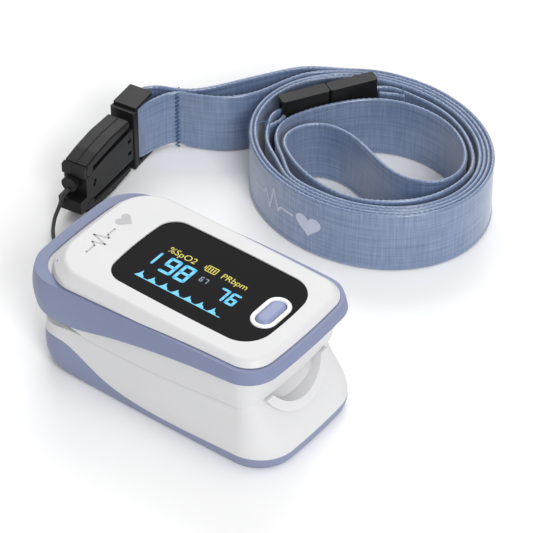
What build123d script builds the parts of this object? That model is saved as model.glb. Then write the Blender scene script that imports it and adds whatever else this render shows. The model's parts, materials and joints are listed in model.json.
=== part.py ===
from build123d import *
from math import cos, pi, radians, sin, tan
import os

os.makedirs("parts", exist_ok=True)

# Fingertip pulse oximeter with its neck lanyard. Millimetres, +Z up.
# +X is the finger mouth, -X the hinge end, the origin is the middle of the base.

# --- Driving dimensions -------------------------------------------------------
LENGTH = 65.0
HEIGHT = 28.6
REAR, FRONT = -LENGTH / 2, LENGTH / 2
GAP = 0.3  # clearance between the two halves

BAND_W = 17.6  # half widths
COVER_W = 16.8
BASE_W = 16.8
WAIST_W = 15.9
BAY_W = 12.9  # inside of the upper skirt
CRADLE_W = 12.4  # outside of the lower cradle

WIN_X0, WIN_X1, WIN_W = -14.4, 24.7, 11.2  # display window
WIN_T = 1.0
BUTTON_X = 20.6
BUTTON_L, BUTTON_W = 7.8, 3.5
BEZEL_T = 1.2
BUTTON_TRAVEL = 0.5

PIVOT_X, PIVOT_Z = -16.0, 16.2
PIN_R = 1.0
LUG_R = 2.2

CELL_R, CELL_L = 5.25, 44.5  # AAA cell
CELL_Y, CELL_Z, CELL_X = 5.6, 7.75, 0.1
BAY_X0, BAY_X1, BAY_Y = -25.3, 23.0, 11.2
DECK_Z = 13.1  # ceiling of the battery bay

PAD_T = 0.7
FLOOR_Z = 14.0  # lowest line of the finger trough in the shell
ROOF_Z = 20.9  # highest line of the finger arch in the upper housing
ARCH_R = 20.0
CHANNEL_W = 8.4
CHANNEL_X0, CHANNEL_X1 = -8.5, 25.0
MOUTH_R = 9.2
MOUTH_Z = 11.0
PCB_Z = 23.6
SENSOR_X = 5.0

LIP_R, LIP_T = 11.2, 2.0  # raised lip round the finger mouth
DOOR_X0, DOOR_X1, DOOR_W, DOOR_T, DOOR_GAP = -19.4, 24.0, 11.4, 1.5, 0.15
SCREWS = ((27.0, 11.8), (27.0, -11.8), (-11.0, 14.2), (-11.0, -14.2))
BOARD_SCREWS = ((-21, 10.2), (-21, -10.2), (22.6, 10.2), (22.6, -10.2))
POST_X, POST_Y, POST_Z = -29.7, 5.5, 7.9
POST_R, POST_L = 0.7, 3.0

# Lanyard
CORD_D = 0.9
CLIP_AT, CLIP_ANGLE = (-55.3, 45.5, 0.0), 7.5  # where connector and buckle meet, turned about Z
CLIP_W = 2.9  # half width
CLIP_Z = 7.9  # height of the connector's middle
BUCKLE_L, BUCKLE_H, PLATE_T = 7.1, 16.9, 0.9
BAR_Y, BAR_R, STRAP_BEND = 3.7, 1.5, 2.3
LEVER_Y, LEVER_Z, LEVER_R = -19.2, 4.6, 1.3  # flexing root of a lever, from the connector's middle
STRAP_W, STRAP_T, STRAP_Z = 15.5, 0.7, 0.1
COIL_X, COIL_Y, COIL_A, COIL_B = -5.4, 69.6, 29.2, 24.6  # ellipse of the wound strap
LAYER = 0.95  # depth that one strand takes in the winding
SAFETY_L, SAFETY_T, SAFETY_H = 23.0, 3.2, 18.4  # breakaway buckle

# Side profiles, (x, z) from the hinge end to the finger mouth
COVER_EDGE = [(-34, 24.2), (-25, 24.7), (-12, 25.6), (4, 26.6), (34, 27.0)]
BAND_EDGE = [(-34, 16.0), (-24, 15.4), (-17.5, 15.8), (-11, 17.8), (-4, 19.8), (10, 22.5), (34, 24.6)]
SEAM = [(-34, 8.6), (-24, 11.4), (-18, 12.2), (-4, 12.5), (8, 13.2), (18, 14.4), (34, 15.8)]
TRIM_EDGE = [(-34, 5.0), (-29, 7.4), (-23, 8.9), (-18, 7.9), (-10, 4.9), (-2, 3.3), (14, 3.1), (34, 3.0)]
HULL = [(-34, 6.6), (-28, 3.4), (-23, 1.6), (-18, 0.4), (-14, 0.0)]


def plan(x0, x1, w_rear, w_front, r_rear, r_front, bulge=0.8):
    """Outline from above: bowed sides and ends, round corners, its own width at each end."""
    w_mid, x_mid = (w_rear + w_front) / 2 + 0.3, (x0 + x1) / 2
    with BuildSketch(mode=Mode.PRIVATE) as sk:
        with BuildLine():
            for y, (xa, wa), (xb, wb) in (
                (-1, (x0 + bulge, w_rear), (x1 - bulge, w_front)),
                (1, (x1 - bulge, w_front), (x0 + bulge, w_rear)),
            ):
                ThreePointArc((xa, y * wa), (x_mid, y * w_mid), (xb, y * wb))
            ThreePointArc((x1 - bulge, -w_front), (x1, 0), (x1 - bulge, w_front))
            ThreePointArc((x0 + bulge, w_rear), (x0, 0), (x0 + bulge, -w_rear))
        make_face()
        fillet(sk.vertices().group_by(Axis.X)[0], r_rear)
        fillet(sk.vertices().group_by(Axis.X)[-1], r_front)
    return sk.sketch


def form(*levels, ruled=False):
    """Loft of plan outlines, each (z, x0, x1, rear and front half widths, rear and front radii)."""
    with BuildPart(mode=Mode.PRIVATE) as body:
        for z, *outline in levels:
            with BuildSketch(Plane.XY.offset(z)):
                add(plan(*outline))
        loft(ruled=ruled)
    return body.part


def below(edge, lift=0.0, floor=-5.0, reach=40.0):
    """Everything below a side profile."""
    pts = [(x, z + lift) for x, z in edge]
    with BuildPart(mode=Mode.PRIVATE) as body:
        with BuildSketch(Plane.XZ):
            with BuildLine():
                Spline(*pts)
                Polyline(pts[-1], (pts[-1][0], floor), (pts[0][0], floor), pts[0])
            make_face()
        extrude(amount=reach, both=True)
    return body.part


def block(x0, x1, half_w, z0, z1, y0=None):
    """Box between two X, two Y and two Z values."""
    y_low = -half_w if y0 is None else y0
    with BuildPart(mode=Mode.PRIVATE) as body:
        with Locations(((x0 + x1) / 2, (y_low + half_w) / 2, (z0 + z1) / 2)):
            Box(x1 - x0, half_w - y_low, z1 - z0)
    return body.part


def arch(r, crown_z, x0, x1, up=True):
    """Round bar along X whose top (or bottom) line is at crown_z."""
    z = crown_z - r if up else crown_z + r
    with BuildPart(mode=Mode.PRIVATE) as body:
        with BuildSketch(Plane.YZ.offset(x0)):
            with Locations((0, z)):
                Circle(r)
        extrude(amount=x1 - x0)
    return body.part


def hinge_bar(r, half_w, x=PIVOT_X, z=PIVOT_Z):
    """Round bar along the hinge axis."""
    with BuildPart(mode=Mode.PRIVATE) as body:
        with BuildSketch(Plane.XZ):
            with Locations((x, z)):
                Circle(r)
        extrude(amount=half_w, both=True)
    return body.part


# --- Outer forms --------------------------------------------------------------
lower_form = form(
    (0.0, REAR + 3.9, FRONT - 0.9, BASE_W - 1.2, BASE_W - 1.6, 8.0, 8.0),
    (1.6, REAR + 2.9, FRONT, BASE_W - 0.3, BASE_W - 0.7, 8.4, 8.8),
    (7.6, REAR + 1.9, FRONT - 1.9, BASE_W - 0.5, BASE_W - 1.2, 8.0, 7.0),
    (17.1, REAR + 1.7, FRONT - 5.9, WAIST_W - 0.1, WAIST_W - 1.3, 6.6, 3.6),
)
lip_form = form(
    (6.5, -20, FRONT - 1.2, BASE_W, BASE_W, 7.2, 6.0),
    (17.1, -20, FRONT - 5.5, WAIST_W, WAIST_W, 6.6, 3.4),
)
skirt_form = form(
    (10.5, REAR + 1.5, FRONT - 6.1, WAIST_W - 0.1, WAIST_W - 1.4, 7.0, 3.4),
    (16.6, REAR + 1.3, FRONT - 5.3, WAIST_W + 0.2, WAIST_W - 0.7, 7.4, 3.8),
    (24.6, REAR + 0.7, FRONT - 2.6, WAIST_W + 1.0, WAIST_W + 0.7, 8.8, 6.0),
)
band_form = form(
    (14.1, REAR + 0.9, FRONT - 3.3, BAND_W - 0.6, BAND_W - 0.8, 8.4, 5.6),
    (23.0, REAR, FRONT - 1.6, BAND_W - 0.2, BAND_W - 0.1, 9.0, 7.0),
    (27.6, REAR + 2.1, FRONT - 2.5, BAND_W - 0.7, BAND_W - 0.9, 8.4, 6.6),
)
cover_form = form(
    (20.0, REAR + 4.4, FRONT - 2.6, COVER_W, COVER_W - 0.2, 9.4, 6.4),
    (24.6, REAR + 4.4, FRONT - 2.6, COVER_W, COVER_W - 0.2, 9.4, 6.4),
    (26.6, REAR + 5.2, FRONT - 2.6, COVER_W, COVER_W - 0.2, 9.4, 6.4),
    (HEIGHT, REAR + 7.2, FRONT - 4.2, COVER_W - 1.8, COVER_W - 2.0, 8.2, 5.4),
    ruled=True,
)
TUB = (REAR + 3.0, FRONT - 6.1, 15.2, 14.4, 7.2, 3.0)
TUB_INSIDE = (REAR + 4.6, FRONT - 7.4, 13.8, 13.2, 6.0, 2.2)
WINDOW = (WIN_X0, WIN_X1, WIN_W, WIN_W, 4.6, 6.4)
band_bore = form((10.0, *TUB), (30.0, *TUB), ruled=True)
tub = form((16.4, *TUB), (26.0, *TUB), ruled=True)
tub_inside = form((17.5, *TUB_INSIDE), (27.2, *TUB_INSIDE), ruled=True)
window_form = form((26.0, *WINDOW), (30.6, *WINDOW), ruled=True)


def finish(node, label):
    """Name a finished sub-part and write its file."""
    node.part.label = label
    export_step(node.part, f"parts/{label}.step")


# --- Upper half ---------------------------------------------------------------
with BuildPart() as top_cover:
    add(cover_form)
    add(below(COVER_EDGE, 0.2), mode=Mode.SUBTRACT)
    # The rear wall stays thick enough for the cover's slope
    add(tub_inside & block(REAR + 7.6, 40, 30, 10, 30), mode=Mode.SUBTRACT)
    add(window_form, mode=Mode.SUBTRACT)
    rim = top_cover.faces().sort_by(Axis.Z)[-1]
    fillet(rim.outer_wire().edges(), 1.0)
finish(top_cover, "top_cover")

with BuildPart() as side_band:
    add(band_form & below(COVER_EDGE))
    add(below(BAND_EDGE), mode=Mode.SUBTRACT)
    add(band_bore, mode=Mode.SUBTRACT)
finish(side_band, "side_band")

with BuildPart() as upper_housing:
    add(skirt_form & below(BAND_EDGE, -0.02))
    add(tub & below(COVER_EDGE, -0.3))
    add(below(SEAM, GAP), mode=Mode.SUBTRACT)
    # Behind the hinge the skirt is cut up and away so that the clamp can open
    with BuildSketch(Plane.XZ):
        with BuildLine():
            Polyline((-40, 8), (-15.0, 8), (-15.0, 12.7), (-21.5, 14.4), (-24.0, 15.3), (-40, 15.9), close=True)
        make_face()
    extrude(amount=30, both=True, mode=Mode.SUBTRACT)
    add(tub_inside & block(-40, 40, 30, ROOF_Z + 1.0, 30), mode=Mode.SUBTRACT)
    add(block(-26.4, CHANNEL_X1, BAY_W, 5, 17.0), mode=Mode.SUBTRACT)
    add(block(-21.0, -10.0, BAY_W, 16, 20.2), mode=Mode.SUBTRACT)
    add(arch(ARCH_R, ROOF_Z, CHANNEL_X0, 24.0) & block(-40, 40, CHANNEL_W, 10, 30), mode=Mode.SUBTRACT)
    add(block(SENSOR_X - 2.0, SENSOR_X + 2.0, 1.6, 19, 23), mode=Mode.SUBTRACT)
    # Hinge lugs hang from the roof
    for side in (-1, 1):
        y0, y1 = sorted((side * 8.2, side * 10.0))
        add(hinge_bar(LUG_R, 12) & block(-40, 40, y1, 0, 40, y0))
        add(block(PIVOT_X - LUG_R, PIVOT_X + LUG_R, y1, PIVOT_Z, 20.6, y0))
    add(hinge_bar(PIN_R + 0.04, 13), mode=Mode.SUBTRACT)
finish(upper_housing, "upper_housing")

with BuildPart() as display_window:
    add(window_form & block(-40, 40, 30, HEIGHT - 0.3 - WIN_T, HEIGHT - 0.3))
    with BuildSketch(Plane.XY.offset(20)):
        with Locations((BUTTON_X, 0)):
            SlotOverall(BUTTON_L + 2 * BEZEL_T, BUTTON_W + 2 * BEZEL_T, rotation=90)
    extrude(amount=10, mode=Mode.SUBTRACT)
finish(display_window, "display_window")

with BuildPart() as button_bezel:
    with BuildSketch(Plane.XY.offset(HEIGHT - 1.5)):
        with Locations((BUTTON_X, 0)):
            SlotOverall(BUTTON_L + 2 * BEZEL_T, BUTTON_W + 2 * BEZEL_T, rotation=90)
            SlotOverall(BUTTON_L + 0.3, BUTTON_W + 0.3, rotation=90, mode=Mode.SUBTRACT)
    extrude(amount=1.6)
    fillet(button_bezel.edges().group_by(Axis.Z)[-1], 0.45)
finish(button_bezel, "button_bezel")

with BuildPart() as power_button:
    with BuildSketch(Plane.XY.offset(HEIGHT - 1.9)):
        with Locations((BUTTON_X, 0)):
            SlotOverall(BUTTON_L, BUTTON_W, rotation=90)
    extrude(amount=2.2)
    fillet(power_button.edges().group_by(Axis.Z)[-1], 0.8)
finish(power_button, "power_button")

with BuildPart() as tact_switch:
    add(block(BUTTON_X - 2.2, BUTTON_X + 2.2, 3.0, PCB_Z + 1.05, PCB_Z + 2.0))
    with BuildSketch(Plane.XY.offset(PCB_Z + 2.0)):
        with Locations((BUTTON_X, 0)):
            Circle(1.2)
    extrude(amount=0.5)
finish(tact_switch, "tact_switch")

with BuildPart() as oled_module:
    add(block(WIN_X0 + 0.8, BUTTON_X - 3.8, 9.6, HEIGHT - 2.6, HEIGHT - 1.35))
    add(block(WIN_X0 + 2.0, BUTTON_X - 6.0, 7.0, PCB_Z + 1.05, HEIGHT - 2.6))
finish(oled_module, "oled_module")

with BuildPart() as main_board:
    add(block(-23.0, 24.2, 11.8, PCB_Z, PCB_Z + 1.0))
    for x, y in BOARD_SCREWS:
        with Locations((x, y, PCB_Z)):
            Cylinder(0.85, 4, mode=Mode.SUBTRACT)
finish(main_board, "main_board")

with BuildPart() as board_screws:
    for x, y in BOARD_SCREWS:
        with Locations((x, y, PCB_Z + 1.3)):
            Cylinder(1.5, 0.6)
        with Locations((x, y, PCB_Z + 0.2)):
            Cylinder(0.8, 1.8)
finish(board_screws, "board_screws")

with BuildPart() as led_emitter:
    add(block(SENSOR_X - 2.0, SENSOR_X + 2.0, 1.6, ROOF_Z - 0.4, ROOF_Z + 1.0))
    with BuildSketch(Plane.XY.offset(ROOF_Z - 0.4)):
        with Locations((SENSOR_X, 0)):
            Circle(1.2)
    extrude(amount=-0.3)
finish(led_emitter, "led_emitter")

with BuildPart() as upper_pad:
    add(arch(ARCH_R - 0.02, ROOF_Z - 0.02, -8.0, 23.0) & block(-40, 40, CHANNEL_W - 0.1, 10, 30))
    add(arch(ARCH_R - PAD_T, ROOF_Z - PAD_T, -9, 24), mode=Mode.SUBTRACT)
    add(block(SENSOR_X - 2.2, SENSOR_X + 2.2, 1.8, 10, 30), mode=Mode.SUBTRACT)
    add(block(-40, 40, 30, 0, 17.1), mode=Mode.SUBTRACT)
finish(upper_pad, "upper_pad")

# --- Lower half ---------------------------------------------------------------
bay = block(-22.2, BAY_X1, BAY_Y, 2.3, DECK_Z) + block(DOOR_X0 + 0.6, BAY_X1, BAY_Y, 1, 3) + block(BAY_X0, -22.1, BAY_Y, 3.6, DECK_Z)
front_hollow = block(24.8, 28.8, 10.0, 2.6, 7.6)
lip_ring = arch(LIP_R, MOUTH_Z - LIP_T, 25.4, 34, up=False) - arch(MOUTH_R, MOUTH_Z, 24, 35, up=False)

with BuildPart() as mouth:
    add(arch(MOUTH_R, MOUTH_Z, 26.7, 36, up=False))
    for x, r, z in ((23.4, ARCH_R, FLOOR_Z), (26.8, MOUTH_R, MOUTH_Z)):
        with BuildSketch(Plane.YZ.offset(x)):
            with Locations((0, z + r)):
                Circle(r)
    loft()
mouth_cut = mouth.part

with BuildPart() as holes:
    for x, y in SCREWS:
        with Locations((x, y, 0)):
            Cylinder(1.3, 1.1, align=(Align.CENTER, Align.CENTER, Align.MIN))
            Cylinder(0.7, 5.6, align=(Align.CENTER, Align.CENTER, Align.MIN))
screw_holes = holes.part

with BuildPart() as lower_shell:
    add(lower_form & below(SEAM))
    add(block(BAY_X0 - 0.5, CHANNEL_X1 - 0.4, CRADLE_W, 4, DECK_Z + 0.6))
    add(block(CHANNEL_X0 - 0.6, CHANNEL_X1 - 0.4, CRADLE_W, 12, 16.2))
    # Hinge ears stand on the deck
    for side in (-1, 1):
        y0, y1 = sorted((side * 10.4, side * CRADLE_W))
        add(hinge_bar(LUG_R, 13) & block(-40, 40, y1, 0, 40, y0))
        add(block(PIVOT_X - LUG_R, PIVOT_X + LUG_R, y1, DECK_Z, PIVOT_Z, y0))
    add(hinge_bar(PIN_R, 13), mode=Mode.SUBTRACT)
    add(below(TRIM_EDGE, 0, -8), mode=Mode.SUBTRACT)
    add(bay, mode=Mode.SUBTRACT)
    add(front_hollow, mode=Mode.SUBTRACT)
    add(arch(ARCH_R, FLOOR_Z, CHANNEL_X0, 23.6, up=False) & block(-40, 40, CHANNEL_W, 5, 17), mode=Mode.SUBTRACT)
    add(mouth_cut & block(20, 40, CHANNEL_W + 2, 5, 17), mode=Mode.SUBTRACT)
    add(lip_ring, mode=Mode.SUBTRACT)
    add(block(SENSOR_X - 2.0, SENSOR_X + 2.0, 1.6, DECK_Z - 1.5, 16), mode=Mode.SUBTRACT)
    add(block(-40, -28.2, POST_Y + 2.4, POST_Z - 1.0, POST_Z + 1.0, POST_Y - 2.4), mode=Mode.SUBTRACT)
    with Locations((POST_X, POST_Y, POST_Z)):
        Cylinder(POST_R, POST_L, mode=Mode.SUBTRACT)
    add(screw_holes, mode=Mode.SUBTRACT)
finish(lower_shell, "lower_shell")

with BuildPart() as bottom_cover:
    add(lower_form & below(TRIM_EDGE, -0.02, -8))
    add(below(HULL, 0, -8), mode=Mode.SUBTRACT)
    add(bay, mode=Mode.SUBTRACT)
    add(front_hollow, mode=Mode.SUBTRACT)
    add(block(DOOR_X0 - 30, DOOR_X1 + DOOR_GAP, DOOR_W + DOOR_GAP, -1, DOOR_T + 0.25), mode=Mode.SUBTRACT)
    add(block(DOOR_X0 - 30, DOOR_X1 + DOOR_GAP, DOOR_W + 0.65, 0.45, 1.15), mode=Mode.SUBTRACT)
    add(block(-40, -28.2, POST_Y + 2.4, POST_Z - 1.0, POST_Z + 1.0, POST_Y - 2.4), mode=Mode.SUBTRACT)
    add(screw_holes, mode=Mode.SUBTRACT)
    with Locations((POST_X, POST_Y, POST_Z)):
        Cylinder(POST_R, POST_L, mode=Mode.SUBTRACT)
finish(bottom_cover, "bottom_cover")

with BuildPart() as battery_door:
    add(block(DOOR_X0, DOOR_X1, DOOR_W, 0.1, DOOR_T))
    add(block(DOOR_X0 + 1, DOOR_X1 - 1, DOOR_W + 0.5, 0.6, 1.0))
    for n in range(5):
        add(block(-14.4 + 1.6 * n, -13.6 + 1.6 * n, 5.0, 0.0, 0.5), mode=Mode.SUBTRACT)
    add(below(HULL, 0, -8), mode=Mode.SUBTRACT)
finish(battery_door, "battery_door")

with BuildPart() as aaa_cells:
    for side in (-1, 1):
        with BuildSketch(Plane.XY.offset(CELL_Z)):
            with BuildLine():
                x0, x1 = CELL_X - side * CELL_L / 2, CELL_X + side * CELL_L / 2
                y = side * CELL_Y
                Polyline(
                    (x0, y), (x0, y + CELL_R - 0.4), (x0 + side * 0.4, y + CELL_R),
                    (x1 - side * 1.6, y + CELL_R), (x1 - side * 1.2, y + CELL_R - 0.4),
                    (x1 - side * 1.2, y + 1.9), (x1, y + 1.9), (x1, y), close=True,
                )
            make_face()
        revolve(axis=Axis((0, y, CELL_Z), (1, 0, 0)))
finish(aaa_cells, "aaa_cells")

with BuildPart() as contact_spring:
    spring_l = CELL_X - CELL_L / 2 - BAY_X0 - 0.6
    with BuildLine() as wire:
        Helix(
            pitch=spring_l / 2.5, height=spring_l, radius=2.6,
            center=(BAY_X0 + 0.35, CELL_Y, CELL_Z), direction=(1, 0, 0),
        )
    with BuildSketch(Plane(origin=wire.line @ 0, z_dir=wire.line % 0)):
        Circle(0.25)
    sweep()
finish(contact_spring, "contact_spring")

with BuildPart() as contact_plates:
    add(block(BAY_X1 - 0.4, BAY_X1, 9.6, 3.8, 11.6))
    add(block(BAY_X0, BAY_X0 + 0.1, 8.8, 4.4, 11.4, 2.4))
    add(block(BAY_X0, BAY_X0 + 0.4, -2.4, 4.4, 11.4, -8.8))
    with Locations(Plane(origin=(BAY_X0 + 0.4, -CELL_Y, CELL_Z), z_dir=(1, 0, 0))):
        Cylinder(2.2, CELL_X - CELL_L / 2 - BAY_X0 - 0.4, align=(Align.CENTER, Align.CENTER, Align.MIN))
finish(contact_plates, "contact_plates")

with BuildPart() as finger_pad:
    trough = arch(ARCH_R - 0.02, FLOOR_Z + 0.02, CHANNEL_X0 + 0.4, 23.4, up=False)
    add(trough & block(-40, 40, CHANNEL_W - 0.1, 5, 16.1))
    add(arch(ARCH_R - PAD_T, FLOOR_Z + PAD_T, -20, 30, up=False), mode=Mode.SUBTRACT)
    add(block(SENSOR_X - 2.1, SENSOR_X + 2.1, 1.7, 5, 20), mode=Mode.SUBTRACT)
finish(finger_pad, "finger_pad")

with BuildPart() as mouth_lip:
    add(lip_form & lip_ring)
    add(below(SEAM, 0.0, -8), mode=Mode.INTERSECT)
finish(mouth_lip, "mouth_lip")

with BuildPart() as photodetector:
    add(block(SENSOR_X - 1.9, SENSOR_X + 1.9, 1.5, DECK_Z - 1.2, DECK_Z - 0.6))
    add(block(SENSOR_X - 1.3, SENSOR_X + 1.3, 1.3, DECK_Z - 0.6, DECK_Z + 0.1))
finish(photodetector, "photodetector")

with BuildPart() as sensor_window:
    add(block(SENSOR_X - 1.95, SENSOR_X + 1.95, 1.55, DECK_Z + 0.4, DECK_Z + 1.4))
finish(sensor_window, "sensor_window")

with BuildPart() as hinge_pin:
    add(hinge_bar(PIN_R, CRADLE_W + 0.1))
finish(hinge_pin, "hinge_pin")

with BuildPart() as torsion_spring:
    with BuildLine() as coil:
        Helix(pitch=1.0, height=9.0, radius=1.75, center=(PIVOT_X, -4.5, PIVOT_Z), direction=(0, 1, 0))
    with BuildSketch(Plane(origin=coil.line @ 0, z_dir=coil.line % 0)):
        Circle(0.35)
    sweep()
finish(torsion_spring, "torsion_spring")

with BuildPart() as base_screws:
    for x, y in SCREWS:
        with Locations((x, y, 0.4)):
            Cylinder(1.3, 0.7, align=(Align.CENTER, Align.CENTER, Align.MIN))
            Cylinder(0.7, 5.2, align=(Align.CENTER, Align.CENTER, Align.MIN))
finish(base_screws, "base_screws")

with BuildPart() as lanyard_post:
    with Locations((POST_X, POST_Y, POST_Z)):
        Cylinder(POST_R, POST_L)
finish(lanyard_post, "lanyard_post")

# --- Lanyard ------------------------------------------------------------------
# Cord from the knot to the connector, first hanging, then lying beside the oximeter
CORD_ROUTE = [
    (-33.6, 6.2, 7.4), (-36.4, 6.8, 6.1), (-39.3, 7.4, 4.1), (-42.6, 8.8, 2.7), (-46.7, 11.2, 2.3),
    (-50.7, 14.6, 2.3), (-53.4, 18.3, 2.7), (-54.1, 20.9, 4.4), (-53.7, 21.8, 7.0), (-52.9, 23.0, 8.4),
]


def corner_radii(route):
    """Largest arc at each corner of a cord's route that leaves its neighbours their room."""
    radii = []
    for a, b, c in zip(route, route[1:], route[2:]):
        inward, outward = Vector(*b) - Vector(*a), Vector(*c) - Vector(*b)
        half_turn = radians(inward.get_angle(outward)) / 2
        radii.append(0.45 * min(inward.length, outward.length) / tan(half_turn))
    return radii


with BuildPart() as cord_knot:
    with BuildSketch(Plane.XY.offset(POST_Z - 0.35)):
        with Locations((POST_X - 0.4, POST_Y)):
            Circle(1.85)
            Circle(1.2, mode=Mode.SUBTRACT)
    extrude(amount=0.7)
    with BuildSketch(Plane((-31.9, 5.8, POST_Z), z_dir=(-1, 0.15, -0.2))):
        Circle(0.95)
    extrude(amount=1.9)
    fillet(cord_knot.edges().filter_by(GeomType.CIRCLE).sort_by(Axis.X)[0], 0.5)
finish(cord_knot, "cord_knot")

cord_radii = corner_radii(CORD_ROUTE)
print("cord radii", [round(r, 1) for r in cord_radii])
with BuildPart() as loop_cord:
    with BuildLine() as cord_path:
        FilletPolyline(*CORD_ROUTE, radius=cord_radii)
    with BuildSketch(Plane(cord_path.line @ 0, z_dir=cord_path.line % 0)):
        Circle(CORD_D / 2)
    sweep()
cord_length = sum(edge.length for edge in cord_path.edges())
cord_volume = cord_length * pi * CORD_D**2 / 4
print("cord length", round(cord_length, 1), "volume", round(loop_cord.part.volume, 2), "of", round(cord_volume, 2))
finish(loop_cord, "loop_cord")

# Quick-release connector: local Y runs from the cord to the buckle, local X across
across = Vector(cos(radians(CLIP_ANGLE)), sin(radians(CLIP_ANGLE)), 0)
along = Vector(-sin(radians(CLIP_ANGLE)), cos(radians(CLIP_ANGLE)), 0)
clip_plan = Plane(CLIP_AT, x_dir=across, z_dir=(0, 0, 1))
clip_side = Plane(CLIP_AT, x_dir=along, z_dir=across)
clip_end = Plane(CLIP_AT, x_dir=across, z_dir=-along)


def clip_block(x0, x1, y0, y1, z0, z1, corner=0.0):
    """Box in the clip's own axes, its upright edges rounded."""
    with BuildPart(mode=Mode.PRIVATE) as body:
        with BuildSketch(clip_plan.offset(z0)):
            with Locations(((x0 + x1) / 2, (y0 + y1) / 2)):
                if corner:
                    RectangleRounded(x1 - x0, y1 - y0, corner)
                else:
                    Rectangle(x1 - x0, y1 - y0)
        extrude(amount=z1 - z0)
    return body.part


def clip_plate(outline, half_w, rounding=0.0):
    """Side outline, (y, height from the connector's middle), made as wide as the clip."""
    with BuildPart(mode=Mode.PRIVATE) as body:
        with BuildSketch(clip_side):
            with BuildLine():
                Polyline(*[(y, CLIP_Z + z) for y, z in outline], close=True)
            make_face()
        extrude(amount=half_w, both=True)
        if rounding:
            sides = body.faces().filter_by(lambda f: abs(f.normal_at().dot(across)) > 0.99)
            chamfer(sides.edges(), rounding)
    return body.part


def clip_rod(r, y, z, half_w):
    """Round bar across the clip."""
    with BuildPart(mode=Mode.PRIVATE) as body:
        with BuildSketch(clip_side):
            with Locations((y, CLIP_Z + z)):
                Circle(r)
        extrude(amount=half_w, both=True)
    return body.part


CORE = [
    (-23.4, -4.9), (-23.4, -1.6), (-20.8, -1.6), (-20.8, 3.9), (-21.6, 3.9), (-21.6, 6.2),
    (-20.5, 6.5), (-20.5, 3.4), (-18.0, 3.7), (-13.0, 4.1), (-1.5, 4.3),
    (-1.5, -4.3), (-9.0, -4.1), (-18.0, -3.7), (-20.5, -3.4), (-20.5, -5.2),
]
LEVER = [
    (-20.25, 4.6), (-20.25, 6.6), (-16.0, 7.3), (-10.0, 7.7), (-2.6, 7.1), (-2.6, 5.5), (-10.0, 5.2), (-18.0, 4.8),
]

with BuildPart() as clip_body:
    add(clip_plate(CORE, CLIP_W))
    with BuildSketch(clip_end.offset(20.8)):
        with Locations((-0.6, 9.6)):
            Circle(1.9)
    extrude(amount=1.8)
    # Entry for the buckle's tongue, the catch windows and the oval slot near the cord
    add(clip_block(-1.8, 1.8, -15.0, 0, CLIP_Z - 2.9, CLIP_Z + 2.9), mode=Mode.SUBTRACT)
    for z in (-2.2, 1.2):
        add(clip_block(2.2, 4, -3.6, -2.4, CLIP_Z + z, CLIP_Z + z + 1.0), mode=Mode.SUBTRACT)
    for y, z in ((-17.6, -0.2), (-17.2, 0.6)):
        add(clip_rod(0.5, y, z, 5), mode=Mode.SUBTRACT)
    for side in (-1, 1):
        add(clip_rod(LEVER_R + 0.15, LEVER_Y, side * LEVER_Z, 5), mode=Mode.SUBTRACT)
finish(clip_body, "clip_body")

for side, label in ((1, "clip_lever_top"), (-1, "clip_lever_bottom")):
    with BuildPart() as clip_lever:
        add(clip_plate([(y, side * z) for y, z in LEVER], CLIP_W, 0.3))
        add(clip_rod(LEVER_R, LEVER_Y, side * LEVER_Z, CLIP_W))
    finish(clip_lever, label)

with BuildPart() as clip_buckle:
    add(clip_block(-CLIP_W, CLIP_W, 0, BUCKLE_L, BUCKLE_H - PLATE_T, BUCKLE_H, 0.4))
    add(clip_block(-CLIP_W, CLIP_W, 0, BUCKLE_L, 0.1, 0.1 + PLATE_T, 0.4))
    add(clip_block(-CLIP_W, CLIP_W, 0, PLATE_T, 0.1, BUCKLE_H))
    add(clip_block(-CLIP_W - 0.2, CLIP_W + 0.2, -1.2, 0.05, 0.3, 16.2, 0.3))
    add(clip_block(-1.6, 1.6, -14.5, -1.0, CLIP_Z - 2.6, CLIP_Z + 2.6))
    with BuildSketch(clip_plan.offset(0.5)):
        with Locations((0.3, BAR_Y)):
            Circle(BAR_R)
    extrude(amount=BUCKLE_H - 1.0)
finish(clip_buckle, "clip_buckle")


def clip_point(x, y):
    """Plan position of a point given in the clip's own axes."""
    spot = Vector(*CLIP_AT) + across * x + along * y
    return (spot.X, spot.Y)


def ring(start, stop, inset, step=15):
    """Points along the wound strap, by angle in degrees, winding clockwise."""
    points = []
    for angle in range(start, stop - 1, -step):
        depth = inset + 2 * LAYER * (135 - angle) / 360
        points.append((
            COIL_X + (COIL_A - depth) * cos(radians(angle)),
            COIL_Y + (COIL_B - depth) * sin(radians(angle)),
        ))
    return points


def ribbon(points, z0=STRAP_Z, width=STRAP_W):
    """Strap standing on its edge along a plan route."""
    with BuildPart(mode=Mode.PRIVATE) as body:
        with BuildSketch(Plane.XY.offset(z0)):
            with BuildLine():
                Spline(*points)
            trace(line_width=STRAP_T)
        extrude(amount=width)
    return body.part


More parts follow.
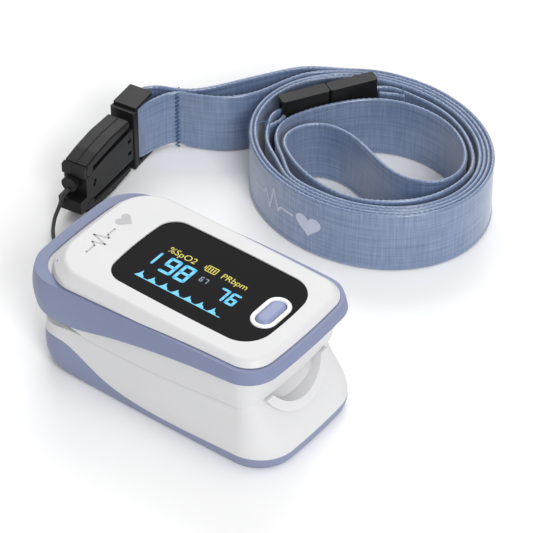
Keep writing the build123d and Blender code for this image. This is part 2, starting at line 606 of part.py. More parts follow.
bend = [
    clip_point(0.3 + STRAP_BEND * cos(radians(angle)), BAR_Y + STRAP_BEND * sin(radians(angle)))
    for angle in range(180, 361, 30)
]
LOOP_RUN = (
    [(-51.6, 58.2), (-53.6, 57.4), (-55.8, 55.9), (-57.4, 53.6), (-58.0, 51.2)]
    + bend
    + [(-52.7, 52.0), (-52.1, 54.2), (-51.2, 56.3), (-50.3, 57.4)]
)
SHORT_RUN = (
    [(-51.2, 58.4), (-49.0, 59.7), (-42.7, 67.7), (-37.6, 76.1), (-32.3, 83.0)]
    + ring(135, -465, 0.0)
    + [(-18.0, 52.4), (-23.4, 56.2), (-26.8, 61.0), (-28.2, 65.4), (-27.2, 68.2)]
)
LONG_RUN = (
    [(-50.0, 57.7), (-48.3, 58.6), (-39.2, 63.9), (-35.6, 69.3), (-33.4, 75.9), (-30.2, 82.2)]
    + ring(135, -465, LAYER)
    + [(-17.4, 53.8), (-22.2, 57.9), (-24.6, 63.6), (-23.2, 69.4), (-19.3, 76.2), (-14.2, 82.0)]
    + [(-7.4, 85.5), (0.4, 86.2), (7.6, 84.2), (13.2, 79.8), (16.0, 74.6), (15.6, 69.4)]
    + [(11.7, 65.5), (7.3, 64.3), (1.1, 65.3), (-6.3, 68.1), (-12.5, 69.3), (-17.7, 68.1)]
    + [(-20.8, 64.5), (-21.1, 59.7), (-16.9, 55.5), (-10.0, 52.4), (-3.0, 51.2), (4.2, 52.2)]
    + [(10.6, 56.0), (15.8, 61.8), (18.2, 69.0), (17.6, 76.0), (13.8, 81.4), (7.6, 86.0)]
    + [(0.2, 88.6), (-7.6, 89.0), (-14.0, 87.8), (-17.2, 84.8)]
)

with BuildPart() as strap_loop:
    add(ribbon(LOOP_RUN, STRAP_Z + 1.0, STRAP_W - 1.1))
finish(strap_loop, "strap_loop")

with BuildPart() as strap_short:
    add(ribbon(SHORT_RUN))
finish(strap_short, "strap_short")

with BuildPart() as strap_long:
    add(ribbon(LONG_RUN))
finish(strap_long, "strap_long")

# Seam that joins the two strands behind the buckle
with BuildPart() as strap_stitching:
    with BuildSketch(Plane((-50.7, 58.0, STRAP_Z + 0.2), x_dir=(1, 0.75, 0), z_dir=(0, 0, 1))):
        Rectangle(0.8, 2.6)
    extrude(amount=STRAP_W - 0.4)
finish(strap_stitching, "strap_stitching")

# Breakaway buckle: two halves that part under load, each holding one end of the strap
safety = Plane((-21.9, 76.6, 0.1), x_dir=(0.505, 0.863, 0), z_dir=(0, 0, 1))
HALF = SAFETY_L / 2


def safety_block(x0, x1, thick, z0, z1, corner=0.0):
    """Box along the breakaway buckle, from its middle."""
    with BuildPart(mode=Mode.PRIVATE) as body:
        with BuildSketch(safety.offset(z0)):
            with Locations(((x0 + x1) / 2, 0)):
                if corner:
                    RectangleRounded(x1 - x0, thick, corner)
                else:
                    Rectangle(x1 - x0, thick)
        extrude(amount=z1 - z0)
    return body.part


with BuildPart() as breakaway_socket:
    add(safety_block(-HALF, -0.1, SAFETY_T, 0, SAFETY_H, 0.6))
    add(safety_block(-HALF - 1, -HALF + 2.6, 1.1, 1.0, SAFETY_H - 1.0), mode=Mode.SUBTRACT)
    add(safety_block(-7.6, 0, 1.7, 3.0, SAFETY_H - 3.0), mode=Mode.SUBTRACT)
finish(breakaway_socket, "breakaway_socket")

with BuildPart() as breakaway_plug:
    add(safety_block(0.1, HALF, SAFETY_T, 0, SAFETY_H, 0.6))
    add(safety_block(HALF - 2.6, HALF + 1, 1.1, 1.0, SAFETY_H - 1.0), mode=Mode.SUBTRACT)
    add(safety_block(-7.4, 0.2, 1.5, 3.3, SAFETY_H - 3.3))
finish(breakaway_plug, "breakaway_plug")
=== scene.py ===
"""Looks of the fingertip pulse oximeter and its neck lanyard. Metres, +X towards the finger mouth, +Z up."""
import json
import math
import bpy
import numpy as np
from mathutils import Matrix, Vector


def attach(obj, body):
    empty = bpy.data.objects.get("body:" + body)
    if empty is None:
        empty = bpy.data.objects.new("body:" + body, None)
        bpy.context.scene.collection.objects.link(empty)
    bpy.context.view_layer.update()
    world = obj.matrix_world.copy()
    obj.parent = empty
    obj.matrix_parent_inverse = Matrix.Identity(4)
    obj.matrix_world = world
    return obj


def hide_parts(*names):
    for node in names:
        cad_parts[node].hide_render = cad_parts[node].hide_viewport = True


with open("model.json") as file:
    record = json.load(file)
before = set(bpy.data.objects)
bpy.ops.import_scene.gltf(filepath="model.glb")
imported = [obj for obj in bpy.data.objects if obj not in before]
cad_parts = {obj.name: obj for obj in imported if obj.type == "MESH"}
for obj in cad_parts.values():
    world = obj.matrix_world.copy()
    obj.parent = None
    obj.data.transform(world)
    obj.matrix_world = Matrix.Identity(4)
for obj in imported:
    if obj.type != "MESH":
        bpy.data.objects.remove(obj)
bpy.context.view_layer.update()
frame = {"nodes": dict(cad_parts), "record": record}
MM = 0.001
scene = bpy.context.scene


# --- Camera -------------------------------------------------------------------
def make_camera():
    """Long lens, looking down at the oximeter from the near side of its finger mouth."""
    data = bpy.data.cameras.new("camera")
    data.lens, data.sensor_width = 210.7, 36.0
    data.clip_start, data.clip_end = 0.05, 10.0
    camera = bpy.data.objects.new("camera", data)
    forward = Vector((-0.4592, 0.5989, -0.6561)).normalized()
    right = Vector((0.7936, 0.6085, 0.0)).normalized()
    up = right.cross(forward)
    turn = Matrix((right, up, -forward)).transposed()
    camera.matrix_world = Matrix.Translation((0.3033, -0.3702, 0.4456)) @ turn.to_4x4()
    scene.collection.objects.link(camera)
    scene.camera = camera


make_camera()


# --- Helpers ------------------------------------------------------------------
def new_mesh(name, verts, faces, smooth=True):
    """Mesh object from points in metres."""
    mesh = bpy.data.meshes.new(name)
    mesh.from_pydata([tuple(v) for v in verts], [], faces)
    mesh.update()
    mesh.polygons.foreach_set("use_smooth", [smooth] * len(mesh.polygons))
    piece = bpy.data.objects.new(name, mesh)
    scene.collection.objects.link(piece)
    return piece


def as_mesh(data, name):
    """Mesh object made from curve or text data."""
    source = bpy.data.objects.new(name + "_source", data)
    scene.collection.objects.link(source)
    bpy.context.view_layer.update()
    mesh = bpy.data.meshes.new_from_object(source.evaluated_get(bpy.context.evaluated_depsgraph_get()))
    bpy.data.objects.remove(source)
    piece = bpy.data.objects.new(name, mesh)
    scene.collection.objects.link(piece)
    return piece


def dress(piece, body, material):
    """Body and material of a new piece."""
    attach(piece, body)
    piece.data.materials.clear()
    piece.data.materials.append(material)
    return piece


def spline(points, step):
    """Natural cubic curve through plan points, sampled evenly: points and distances, in mm."""
    p = np.array(points, float)
    t = np.concatenate([[0], np.cumsum(np.hypot(*np.diff(p, axis=0).T))])
    h, n = np.diff(t), len(p)
    a, b = np.eye(n), np.zeros((n, 2))
    for i in range(1, n - 1):
        a[i, i - 1:i + 2] = h[i - 1], 2 * (h[i - 1] + h[i]), h[i]
        b[i] = 6 * ((p[i + 1] - p[i]) / h[i] - (p[i] - p[i - 1]) / h[i - 1])
    m = np.linalg.solve(a, b)
    out = []
    for i in range(n - 1):
        for k in range(max(1, round(h[i] / step))):
            x = h[i] * k / max(1, round(h[i] / step))
            y = h[i] - x
            out.append(
                (m[i] * y**3 + m[i + 1] * x**3) / (6 * h[i])
                + (p[i] / h[i] - m[i] * h[i] / 6) * y
                + (p[i + 1] / h[i] - m[i + 1] * h[i] / 6) * x
            )
    out.append(p[-1])
    out = np.array(out)
    s = np.concatenate([[0], np.cumsum(np.hypot(*np.diff(out, axis=0).T))])
    even = np.linspace(0, s[-1], round(s[-1] / step) + 1)
    return np.column_stack([np.interp(even, s, out[:, 0]), np.interp(even, s, out[:, 1])]), even


# --- Materials ----------------------------------------------------------------
def principled(name, color, rough, metallic=0.0, coat=0.0, specular=0.5):
    """Material with its Principled shader, and the node tree to add to."""
    material = bpy.data.materials.new(name)
    material.use_nodes = True
    tree = material.node_tree
    shader = tree.nodes["Principled BSDF"]
    shader.inputs["Base Color"].default_value = (*color, 1)
    shader.inputs["Roughness"].default_value = rough
    shader.inputs["Metallic"].default_value = metallic
    shader.inputs["Coat Weight"].default_value = coat
    shader.inputs["Specular IOR Level"].default_value = specular
    return material, tree, shader


def node(tree, kind, **inputs):
    """Shader node with some of its inputs set."""
    made = tree.nodes.new(kind)
    for key, value in inputs.items():
        made.inputs[key.replace("_", " ")].default_value = value
    return made


def noise_on(tree, scale, detail=3.0):
    """Noise in the part's own coordinates."""
    coords = tree.nodes.new("ShaderNodeTexCoord")
    noise = node(tree, "ShaderNodeTexNoise", Scale=scale, Detail=detail)
    tree.links.new(coords.outputs["Object"], noise.inputs["Vector"])
    return noise


def vary(tree, shader, noise, low, high):
    """Base colour that wanders between two colours with a noise."""
    ramp = tree.nodes.new("ShaderNodeValToRGB")
    ramp.color_ramp.elements[0].position, ramp.color_ramp.elements[1].position = 0.3, 0.7
    ramp.color_ramp.elements[0].color = (*low, 1)
    ramp.color_ramp.elements[1].color = (*high, 1)
    tree.links.new(noise.outputs["Fac"], ramp.inputs["Fac"])
    tree.links.new(ramp.outputs["Color"], shader.inputs["Base Color"])


def roughen(tree, shader, noise, low, high):
    """Roughness that wanders with a noise."""
    span = node(tree, "ShaderNodeMapRange", To_Min=low, To_Max=high)
    tree.links.new(noise.outputs["Fac"], span.inputs["Value"])
    tree.links.new(span.outputs["Result"], shader.inputs["Roughness"])


def emboss(tree, shader, height, strength, distance):
    """Bump from a height output."""
    bump = node(tree, "ShaderNodeBump", Strength=strength, Distance=distance)
    tree.links.new(height, bump.inputs["Height"])
    tree.links.new(bump.outputs["Normal"], shader.inputs["Normal"])


def moulded(name, color, rough, grain=9000, depth=0.00002, coat=0.0, spread=0.03, specular=0.5):
    """Injection-moulded plastic: fine grain, and a faint change of shade over the surface."""
    material, tree, shader = principled(name, color, rough, coat=coat, specular=specular)
    low = tuple(c * (1 - spread) for c in color)
    high = tuple(min(1, c * (1 + spread)) for c in color)
    vary(tree, shader, noise_on(tree, 90), low, high)
    roughen(tree, shader, noise_on(tree, 400), rough - 0.04, rough + 0.05)
    emboss(tree, shader, noise_on(tree, grain, 2).outputs["Fac"], 0.25, depth)
    return material


def metal(name, color, rough):
    """Drawn or brushed metal."""
    material, tree, shader = principled(name, color, rough, metallic=1.0)
    roughen(tree, shader, noise_on(tree, 2500, 2), rough - 0.08, rough + 0.1)
    emboss(tree, shader, noise_on(tree, 6000, 2).outputs["Fac"], 0.3, 0.00001)
    return material


def glowing(name, color, strength):
    """Lit picture element of the display."""
    material, tree, shader = principled(name, tuple(c * 0.3 for c in color), 0.4)
    shader.inputs["Emission Color"].default_value = (*color, 1)
    shader.inputs["Emission Strength"].default_value = strength
    roughen(tree, shader, noise_on(tree, 3000), 0.35, 0.45)
    return material


YARNS_PER_METRE = 2600


def webbing(name, dark, light):
    """Satin webbing: fine cross ribs and lengthwise yarns, laid out by the strap's own length and width."""
    material, tree, shader = principled(name, light, 0.3, specular=1.0)
    shader.inputs["Sheen Weight"].default_value = 0.35
    shader.inputs["Sheen Roughness"].default_value = 0.4
    coords = tree.nodes.new("ShaderNodeUVMap")
    heights = []
    for lengthwise, crosswise, scale in ((1, 0.04, 1.0), (0.03, 1, 0.8)):
        mapping = tree.nodes.new("ShaderNodeMapping")
        mapping.inputs["Scale"].default_value = (lengthwise * YARNS_PER_METRE, crosswise * YARNS_PER_METRE, 1)
        noise = node(tree, "ShaderNodeTexNoise", Scale=scale, Detail=2.0)
        tree.links.new(coords.outputs["UV"], mapping.inputs["Vector"])
        tree.links.new(mapping.outputs["Vector"], noise.inputs["Vector"])
        heights.append(noise)
    blend = node(tree, "ShaderNodeMath")
    blend.operation = "ADD"
    tree.links.new(heights[0].outputs["Fac"], blend.inputs[0])
    tree.links.new(heights[1].outputs["Fac"], blend.inputs[1])
    ramp = tree.nodes.new("ShaderNodeValToRGB")
    ramp.color_ramp.elements[0].position, ramp.color_ramp.elements[1].position = 0.35, 0.65
    ramp.color_ramp.elements[0].color = (*dark, 1)
    ramp.color_ramp.elements[1].color = (*light, 1)
    half = node(tree, "ShaderNodeMath")
    half.operation = "MULTIPLY"
    half.inputs[1].default_value = 0.5
    tree.links.new(blend.outputs["Value"], half.inputs[0])
    tree.links.new(half.outputs["Value"], ramp.inputs["Fac"])
    tree.links.new(ramp.outputs["Color"], shader.inputs["Base Color"])
    emboss(tree, shader, blend.outputs["Value"], 0.5, 0.00006)
    return material


def braid(name, color):
    """Thin braided cord."""
    material, tree, shader = principled(name, color, 0.7)
    shader.inputs["Sheen Weight"].default_value = 0.2
    dark, light = tuple(c * 0.5 for c in color), tuple(c * 1.8 for c in color)
    vary(tree, shader, noise_on(tree, 3500), dark, light)
    emboss(tree, shader, noise_on(tree, 2600, 2).outputs["Fac"], 0.8, 0.0001)
    return material


WHITE = (0.66, 0.66, 0.668)
MATERIALS = {
    "cover_white": moulded("cover_white", WHITE, 0.38, spread=0.01, specular=0.35),
    "housing_white": moulded("housing_white", WHITE, 0.45, spread=0.01, specular=0.3),
    "band_blue": moulded("band_blue", (0.19, 0.22, 0.355), 0.42, spread=0.03, specular=0.4),
    "trim_blue": moulded("trim_blue", (0.22, 0.25, 0.38), 0.42, spread=0.03, specular=0.4),
    "window_dark": moulded(
        "window_dark", (0.009, 0.009, 0.01), 0.12, grain=3000, depth=0.000002, specular=0.02,
    ),
    "display_dark": moulded("display_dark", (0.01, 0.01, 0.012), 0.15, depth=0.000004),
    "button_blue": moulded("button_blue", (0.24, 0.28, 0.45), 0.35, specular=0.4),
    "bezel_white": moulded("bezel_white", (0.9, 0.9, 0.92), 0.3, spread=0.01),
    "pad_grey": moulded("pad_grey", (0.06, 0.06, 0.065), 0.65, grain=4000, depth=0.00004),
    "steel": metal("steel", (0.6, 0.6, 0.6), 0.3),
    "spring_steel": metal("spring_steel", (0.45, 0.45, 0.46), 0.35),
    "cell_jacket": moulded("cell_jacket", (0.1, 0.2, 0.16), 0.35, coat=0.3),
    "board_green": moulded("board_green", (0.03, 0.16, 0.07), 0.4),
    "led_clear": moulded("led_clear", (0.75, 0.1, 0.08), 0.15),
    "sensor_dark": moulded("sensor_dark", (0.03, 0.02, 0.02), 0.15),
    "switch_black": moulded("switch_black", (0.03, 0.03, 0.03), 0.5),
    "clip_black": moulded(
        "clip_black", (0.012, 0.012, 0.012), 0.38, grain=5000, depth=0.00004, spread=0.15, specular=0.18,
    ),
    "strap_blue": webbing("strap_blue", (0.1, 0.15, 0.27), (0.2, 0.27, 0.42)),
    "thread_blue": braid("thread_blue", (0.05, 0.11, 0.24)),
    "cord_black": braid("cord_black", (0.025, 0.025, 0.025)),
}
for part in frame["record"]["subparts"]:
    shown = frame["nodes"][part["node"]]
    shown.data.materials.clear()
    shown.data.materials.append(MATERIALS[part["material_slot"]])

# --- Cord ---------------------------------------------------------------------
CORD_ROUTE = [
    (-33.6, 6.2, 7.4), (-36.4, 6.8, 6.1), (-39.3, 7.4, 4.1), (-42.6, 8.8, 2.7), (-46.7, 11.2, 2.3),
    (-50.7, 14.6, 2.3), (-53.4, 18.3, 2.7), (-54.1, 20.9, 4.4), (-53.7, 21.8, 7.0), (-52.9, 23.0, 8.4),
]
CORD_R = 0.45


def tube(name, points, radius):
    """Round tube through points in mm."""
    data = bpy.data.curves.new(name, "CURVE")
    data.dimensions = "3D"
    data.bevel_depth, data.bevel_resolution = radius * MM, 4
    data.use_fill_caps = True
    line = data.splines.new("POLY")
    line.points.add(len(points) - 1)
    for point, place in zip(line.points, points):
        point.co = (*(v * MM for v in place), 1)
    return as_mesh(data, name)


def course(points, parts=8):
    """Smooth line through points in 3D."""
    ends = [np.array(p, float) for p in points]
    ends = [2 * ends[0] - ends[1]] + ends + [2 * ends[-1] - ends[-2]]
    line = []
    for a, b, c, d in zip(ends, ends[1:], ends[2:], ends[3:]):
        for k in range(parts):
            t = k / parts
            bend = (2 * a - 5 * b + 4 * c - d) * t**2 + (3 * b - a - 3 * c + d) * t**3
            line.append(0.5 * (2 * b + (c - a) * t + bend))
    return line + [ends[-2]]


def make_cord():
    """Thin cord from the knot on the oximeter to the clip."""
    path = course(CORD_ROUTE)
    cord = tube("neck_cord", path, CORD_R)
    dress(cord, "lower", MATERIALS["cord_black"])
    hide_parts("loop_cord")
    [tuple(float(v) * MM for v in place) for place in path]
    tuple(v * MM for v in CORD_ROUTE[0])


make_cord()

# --- Strap --------------------------------------------------------------------
CLIP_AT, CLIP_ANGLE = (-55.3, 45.5), math.radians(7.5)
STRAP_W, STRAP_T = 15.5, 0.7
COIL_X, COIL_Y, COIL_A, COIL_B, LAYER = -5.4, 69.6, 29.2, 24.6, 0.95
COIL_START, COIL_END = 135, -465  # degrees, clockwise
BEND_X, BEND_Y, BEND_R = 0.3, 3.7, 2.3


def clip_point(x, y):
    """Plan position of a point given in the clip's own axes."""
    c, s = math.cos(CLIP_ANGLE), math.sin(CLIP_ANGLE)
    return (CLIP_AT[0] + x * c - y * s, CLIP_AT[1] + x * s + y * c)


def on_ellipse(turn, depth):
    """Plan position on the coil, depth inside its outermost turn."""
    return (COIL_X + (COIL_A - depth) * math.cos(turn), COIL_Y + (COIL_B - depth) * math.sin(turn))


def ring(start, stop, inset, step=15):
    """Points along the wound strap, by angle in degrees, winding clockwise."""
    points = []
    for angle in range(start, stop - 1, -step):
        depth = inset + 2 * LAYER * (COIL_START - angle) / 360
        turn = math.radians(angle)
        points.append(on_ellipse(turn, depth))
    return points


bend = [
    clip_point(BEND_X + BEND_R * math.cos(turn), BEND_Y + BEND_R * math.sin(turn))
    for turn in map(math.radians, range(180, 361, 30))
]
LOOP_RUN = (
    [(-51.6, 58.2), (-53.6, 57.4), (-55.8, 55.9), (-57.4, 53.6), (-58.0, 51.2)]
    + bend
    + [(-52.7, 52.0), (-52.1, 54.2), (-51.2, 56.3), (-50.3, 57.4)]
)
SHORT_RUN = (
    [(-51.2, 58.4), (-49.0, 59.7), (-42.7, 67.7), (-37.6, 76.1), (-32.3, 83.0)]
    + ring(COIL_START, COIL_END, 0.0)
    + [(-18.0, 52.4), (-23.4, 56.2), (-26.8, 61.0), (-28.2, 65.4), (-27.2, 68.2)]
)
LONG_RUN = (
    [(-50.0, 57.7), (-48.3, 58.6), (-39.2, 63.9), (-35.6, 69.3), (-33.4, 75.9), (-30.2, 82.2)]
    + ring(COIL_START, COIL_END, LAYER)
    + [(-17.4, 53.8), (-22.2, 57.9), (-24.6, 63.6), (-23.2, 69.4), (-19.3, 76.2), (-14.2, 82.0)]
    + [(-7.4, 85.5), (0.4, 86.2), (7.6, 84.2), (13.2, 79.8), (16.0, 74.6), (15.6, 69.4)]
    + [(11.7, 65.5), (7.3, 64.3), (1.1, 65.3), (-6.3, 68.1), (-12.5, 69.3), (-17.7, 68.1)]
    + [(-20.8, 64.5), (-21.1, 59.7), (-16.9, 55.5), (-10.0, 52.4), (-3.0, 51.2), (4.2, 52.2)]
    + [(10.6, 56.0), (15.8, 61.8), (18.2, 69.0), (17.6, 76.0), (13.8, 81.4), (7.6, 86.0)]
    + [(0.2, 88.6), (-7.6, 89.0), (-14.0, 87.8), (-17.2, 84.8)]
)
# Half section of the webbing: share of the width, half thickness in mm. The edges are thicker.
EDGE = [(0.0, 0.12), (0.008, 0.3), (0.03, 0.42), (0.06, 0.4), (0.075, 0.27), (0.1, 0.3)]
SECTION = EDGE + [(0.3, 0.31), (0.5, 0.31), (0.7, 0.31)] + [(1 - v, t) for v, t in reversed(EDGE)]
PICK = 1.25  # pitch of the loops along the webbing's edge, mm


def strap_lift(x, y):
    """The strap's lower edge: on the table, but raised where the buckle's bottom plate carries it."""
    near = math.hypot(x - bend[3][0], y - bend[3][1])
    share = min(1, max(0, (near - 10.5) / 5))
    return 0.12 + 1.0 * (1 - share * share * (3 - 2 * share))


def ribbon(name, run, step=0.42, low=None, high=None):
    """Webbing standing on its edge along a plan route, with looped edges."""
    path, s = spline(run, step)
    tangent = np.gradient(path, axis=0)
    tangent /= np.hypot(*tangent.T)[:, None]
    normal = np.column_stack([-tangent[:, 1], tangent[:, 0]])
    verts, uvs = [], []
    for i, (p, n) in enumerate(zip(path, normal)):
        wave = math.sin(2 * math.pi * s[i] / PICK)
        bottom = strap_lift(*p) if low is None else low
        top = STRAP_W + 0.05 if high is None else high
        for side, section in ((1, SECTION), (-1, SECTION[::-1])):
            for v, half in section:
                rim = v < 0.07 or v > 0.93
                t = half * (1 + 0.16 * wave * side) if rim else half
                scallop = 0.06 * wave * (1 if v > 0.5 else -1) if rim and half < 0.35 else 0
                z = bottom + v * (top - bottom) + scallop
                verts.append((*((p + n * side * t) * MM), max(z, 0.02) * MM))
                uvs.append((s[i] * MM, z * MM))
    k, faces = 2 * len(SECTION), []
    for i in range(len(path) - 1):
        for j in range(k):
            after = (j + 1) % k
            faces.append((i * k + j, (i + 1) * k + j, (i + 1) * k + after, i * k + after))
    faces.append(tuple(range(k)))
    faces.append(tuple(reversed(range((len(path) - 1) * k, len(path) * k))))
    piece = new_mesh(name, verts, [tuple(reversed(f)) for f in faces])
    layer = piece.data.uv_layers.new(name="strap")
    for loop in piece.data.loops:
        layer.data[loop.index].uv = uvs[loop.vertex_index]
    return piece, s[-1] * MM


strap, strap_length = ribbon("strap_webbing", SHORT_RUN[::-1] + LOOP_RUN + LONG_RUN)
dress(strap, "strap", MATERIALS["strap_blue"])
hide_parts("strap_short", "strap_loop", "strap_long")


def thread(name, points, radius, body, slot):
    """Thin thread or moulded bead through points in mm."""
    return dress(tube(name, points, radius), body, MATERIALS[slot])


def zigzag(x, y, along, half, low, high, pitch):
    """Lock stitches up the strap: points to and fro across a seam."""
    count = round((high - low) / pitch)
    return [
        (x + along[0] * half * (-1) ** k, y + along[1] * half * (-1) ** k, low + (high - low) * k / count)
        for k in range(count + 1)
    ]


TAIL_SOCKET = [(-26.6, 60.4), (-26.3, 62.4), (-25.9, 64.2), (-26.2, 65.9)]
TAIL_PLUG = [(-9.0, 88.1), (-11.2, 87.3), (-13.0, 86.3), (-14.4, 85.6)]
for tail_name, tail_run in (("strap_tail_socket", TAIL_SOCKET), ("strap_tail_plug", TAIL_PLUG)):
    tail, _ = ribbon(tail_name, tail_run, low=0.4, high=15.2)
    dress(tail, "strap", MATERIALS["strap_blue"])

# Seams: plan position, direction across, half width, low and high end, pitch, thread radius, all in mm
SEAMS = {
    "seam_buckle": (-49.75, 57.2, (0.75, 0.6), 0.4, 0.3, 15.5, 0.55, 0.2),
    "seam_buckle_back": (-50.9, 58.9, (0.75, 0.6), 0.4, 0.3, 15.5, 0.55, 0.2),
    "seam_socket": (-27.1, 60.9, (0.3, 0.95), 0.5, 0.6, 15.9, 0.7, 0.17),
    "seam_plug": (-9.9, 87.9, (0.95, 0.3), 0.5, 0.6, 15.9, 0.7, 0.17),
}
# Thread ends left where the seams were cut
THREAD_ENDS = {
    "thread_end_socket": [(-27.1, 60.9, 15.8), (-27.6, 60.2, 16.3), (-28.3, 59.9, 15.9), (-28.6, 59.4, 15.3)],
    "thread_end_plug": [(-9.9, 88.6, 15.8), (-10.3, 89.2, 16.3), (-10.9, 89.4, 15.9)],
}
for seam_name, (*run, thread_r) in SEAMS.items():
    seam = thread(seam_name, zigzag(*run), thread_r, "strap", "thread_blue")
    if seam_name == "seam_buckle":
        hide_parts("strap_stitching")
for end_name, end_run in THREAD_ENDS.items():
    thread(end_name, end_run, 0.12, "strap", "thread_blue")


# --- Marks and display ---------------------------------------------------------
def strokes(name, lines, width, place, cap=8):
    """Flat rounded strokes along 2D lines, put on a surface by place(u, v)."""
    verts, faces = [], []
    for line in lines:
        for a, b in zip(line, line[1:]):
            a, b = np.array(a, float), np.array(b, float)
            length = np.hypot(*(b - a))
            side = np.array([a[1] - b[1], b[0] - a[0]]) / length * width / 2
            steps = max(1, round(length / 0.8))
            first = len(verts)
            for k in range(steps + 1):
                p = a + (b - a) * k / steps
                verts += [place(*(p - side)), place(*(p + side))]
            for k in range(steps):
                n = first + 2 * k
                faces.append((n, n + 2, n + 3, n + 1))
        for p in line:
            first = len(verts)
            for k in range(cap):
                turn = 2 * math.pi * k / cap
                verts.append(place(p[0] + width / 2 * math.cos(turn), p[1] + width / 2 * math.sin(turn)))
            faces.append(tuple(range(first, first + cap)))
    return new_mesh(name, [[c * MM for c in v] for v in verts], faces, smooth=False)


def filled(name, outlines, place):
    """Flat filled outlines, put on a surface by place(u, v)."""
    verts, faces = [], []
    for outline in outlines:
        first = len(verts)
        verts += [[c * MM for c in place(*p)] for p in outline]
        faces.append(tuple(range(first, first + len(outline))))
    return new_mesh(name, verts, faces, smooth=False)


DIGIT_SEGMENTS = {
    "a": ((0, 2), (1, 2)), "b": ((1, 2), (1, 1)), "c": ((1, 1), (1, 0)), "d": ((0, 0), (1, 0)),
    "e": ((0, 1), (0, 0)), "f": ((0, 2), (0, 1)), "g": ((0, 1), (1, 1)),
}
DIGITS = {"9": "abcdfg", "8": "abcdefg", "7": "abc", "6": "acdefg"}


def figures(number, x, y, wide, tall, gap):
    """Lines of a number in seven strokes a figure."""
    lines = []
    for k, figure in enumerate(number):
        x0 = x + k * (wide + gap)
        for segment in DIGITS[figure]:
            lines.append([(x0 + u * wide, y + v * tall / 2) for u, v in DIGIT_SEGMENTS[segment]])
    return lines


def heart(x, y, size):
    """Outline of a heart, 24 points."""
    points = []
    for k in range(24):
        t = 2 * math.pi * k / 24
        u = 16 * math.sin(t) ** 3
        v = 13 * math.cos(t) - 5 * math.cos(2 * t) - 2 * math.cos(3 * t) - math.cos(4 * t)
        points.append((x + u * size / 32, y + v * size / 32))
    return points


GLASS_Z = 28.33  # just over the window


def on_glass(u, v):
    """Window, with u along the oximeter and v across it."""
    return (u, v, GLASS_Z)


def label(name, text, x, y, size):
    """Generic lettering of the display, converted to a mesh."""
    data = bpy.data.curves.new(name, "FONT")
    data.body, data.size = text, size * MM
    piece = as_mesh(data, name)
    for vert in piece.data.vertices:
        vert.co = Vector((vert.co.x + x * MM, vert.co.y + y * MM, GLASS_Z * MM))
    return piece


CYAN = glowing("display_cyan", (0.1, 0.52, 0.82), 0.85)
YELLOW = glowing("display_yellow", (0.72, 0.62, 0.05), 0.7)
PALE = glowing("display_pale", (0.3, 0.42, 0.5), 0.5)
WAVE_Y, WAVE_X0, WAVE_X1, WAVE_STEP = -7.3, -8.6, 13.2, 3.1
WAVE_PEAKS = (1.9, 1.6, 1.75, 1.5, 1.5, 1.6, 1.7)
WAVE_FOOT = [(WAVE_X0, WAVE_Y - 0.1), (WAVE_X1, WAVE_Y - 0.1)]
LABEL_Y = 2.2
BATTERY_CASE = [(1.9, 2.2), (4.4, 2.2), (4.4, 3.9), (1.9, 3.9), (1.9, 2.2)]
BATTERY_TIP = [(1.5, 2.7), (1.5, 3.4)]
CHARGE_X = (2.5, 3.15, 3.8)


def pulse_wave():
    """Filled peaks of the pulse along the foot of the display."""
    shapes = []
    for k, tall in enumerate(WAVE_PEAKS):
        x = WAVE_X0 + k * WAVE_STEP
        shapes.append([
            (x, WAVE_Y), (x + 1.5, WAVE_Y), (x + 2.1, WAVE_Y), (x + 1.7, WAVE_Y + 0.55),
            (x + 1.25, WAVE_Y + 0.8), (x + 0.85, WAVE_Y + tall), (x + 0.5, WAVE_Y + 0.7),
        ])
    return shapes


def make_display():
    """Readings: oxygen saturation, pulse rate, battery, pulse wave."""
    lit = [
        (strokes("display_saturation", figures("98", -5.4, -3.4, 2.3, 4.3, 1.4), 0.75, on_glass), CYAN),
        (strokes("display_bar", [[(-8.1, -2.6), (-8.1, 0.8)]], 0.6, on_glass), CYAN),
        (strokes("display_rate", figures("76", 8.6, -3.1, 1.6, 3.1, 1.1), 0.6, on_glass), CYAN),
        (filled("display_wave", pulse_wave(), on_glass), CYAN),
        (strokes("display_wave_line", [WAVE_FOOT], 0.22, on_glass), CYAN),
        (label("display_label_left", "%SpO2", -7.9, LABEL_Y, 2.4), YELLOW),
        (label("display_label_right", "PRbpm", 5.8, LABEL_Y, 2.3), YELLOW),
        (strokes("display_battery", [BATTERY_CASE, BATTERY_TIP], 0.22, on_glass), YELLOW),
        (strokes("display_charge", [[(x, 2.6), (x, 3.5)] for x in CHARGE_X], 0.3, on_glass), YELLOW),
        (strokes("display_small", figures("67", 2.9, -1.0, 0.6, 1.2, 0.55), 0.2, on_glass), PALE),
    ]
    for piece, material in lit:
        dress(piece, "upper", material)


make_display()

COVER_TOP = 28.62
SILVER = moulded("mark_silver", (0.42, 0.42, 0.43), 0.4, spread=0.02)
PALE_PRINT = moulded("mark_pale", (0.5, 0.54, 0.66), 0.45, spread=0.03)
PULSE = [(0, 0), (2.6, 0), (3.3, 1.2), (4.2, -1.6), (5.2, 2.4), (6.2, -0.9), (6.9, 0), (9.2, 0)]


def on_cover(u, v):
    """Cover, with u along the oximeter's width and v towards its hinge end."""
    return (-20.6 - v, -8.4 + u, COVER_TOP)


cover_line = strokes("mark_cover_line", [PULSE], 0.45, on_cover)
cover_heart = filled("mark_cover_heart", [heart(12.6, 0.2, 4.0)], on_cover)
for mark in (cover_line, cover_heart):
    dress(mark, "upper", SILVER)


COIL_MEAN_R, PRINT_LIFT = 27.0, 0.36


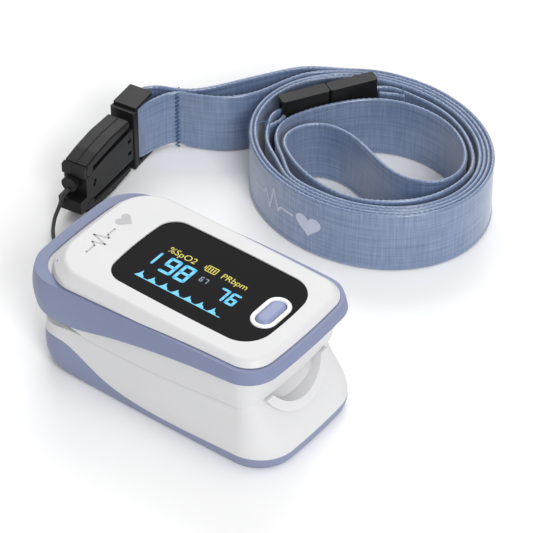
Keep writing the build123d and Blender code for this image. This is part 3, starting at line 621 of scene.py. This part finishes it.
def on_coil(start):
    """Outer face of the wound strap, u along it from an angle in degrees, v up."""
    def place(u, v):
        angle = start + math.degrees(u / COIL_MEAN_R)
        depth = 2 * LAYER * (COIL_START - angle) / 360 - PRINT_LIFT
        turn = math.radians(angle)
        return (*on_ellipse(turn, depth), v)
    return place


strap_line = strokes("mark_strap_line", [[(u * 1.5, 8.2 + v * 1.5) for u, v in PULSE]], 0.6, on_coil(-126))
strap_heart = filled("mark_strap_heart", [heart(0, 7.8, 6.4)], on_coil(-88))
for mark in (strap_line, strap_heart):
    dress(mark, "strap", PALE_PRINT)

# --- Clip details ---------------------------------------------------------------
CLIP_Z = 7.9
# Ridge of the upper lever: along the clip, and above the clip's middle
LEVER_RIDGE = [(-19.9, 6.62), (-16.0, 7.31), (-10.0, 7.71), (-2.8, 7.13)]
ridge = [(*clip_point(0, y), CLIP_Z + z) for y, z in LEVER_RIDGE]
thread("clip_bead_top", ridge, 0.12, "lever_top", "clip_black")


# --- Light and floor ----------------------------------------------------------
def make_light(name, place, aim, size, power):
    """Soft square lamp."""
    data = bpy.data.lights.new(name, "AREA")
    data.size, data.energy = size, power
    lamp = bpy.data.objects.new(name, data)
    lamp.location = place
    lamp.rotation_euler = (Vector(aim) - Vector(place)).to_track_quat("-Z", "Y").to_euler()
    scene.collection.objects.link(lamp)


AIM = (-0.01, 0.03, 0)
make_light("key", (0.62, -0.36, 0.55), AIM, 0.35, 4.6)
make_light("back", (-0.42, 0.62, 0.68), AIM, 0.6, 4.0)
make_light("top", (0.2, 0.1, 0.95), AIM, 0.5, 1.5)
world = bpy.data.worlds.new("studio")
world.use_nodes = True
world.node_tree.nodes["Background"].inputs["Color"].default_value = (1, 1, 1, 1)
world.node_tree.nodes["Background"].inputs["Strength"].default_value = 0.46
scene.world = world
scene.view_settings.view_transform = "Standard"

FLOOR_R, FLOOR_Z = 3, -0.0001
corners = [(x * FLOOR_R, y * FLOOR_R, FLOOR_Z) for x, y in ((-1, -1), (1, -1), (1, 1), (-1, 1))]
floor = new_mesh("floor", corners, [(0, 1, 2, 3)])
paper, _, _ = principled("paper", (0.96, 0.96, 0.96), 0.9)
floor.data.materials.append(paper)
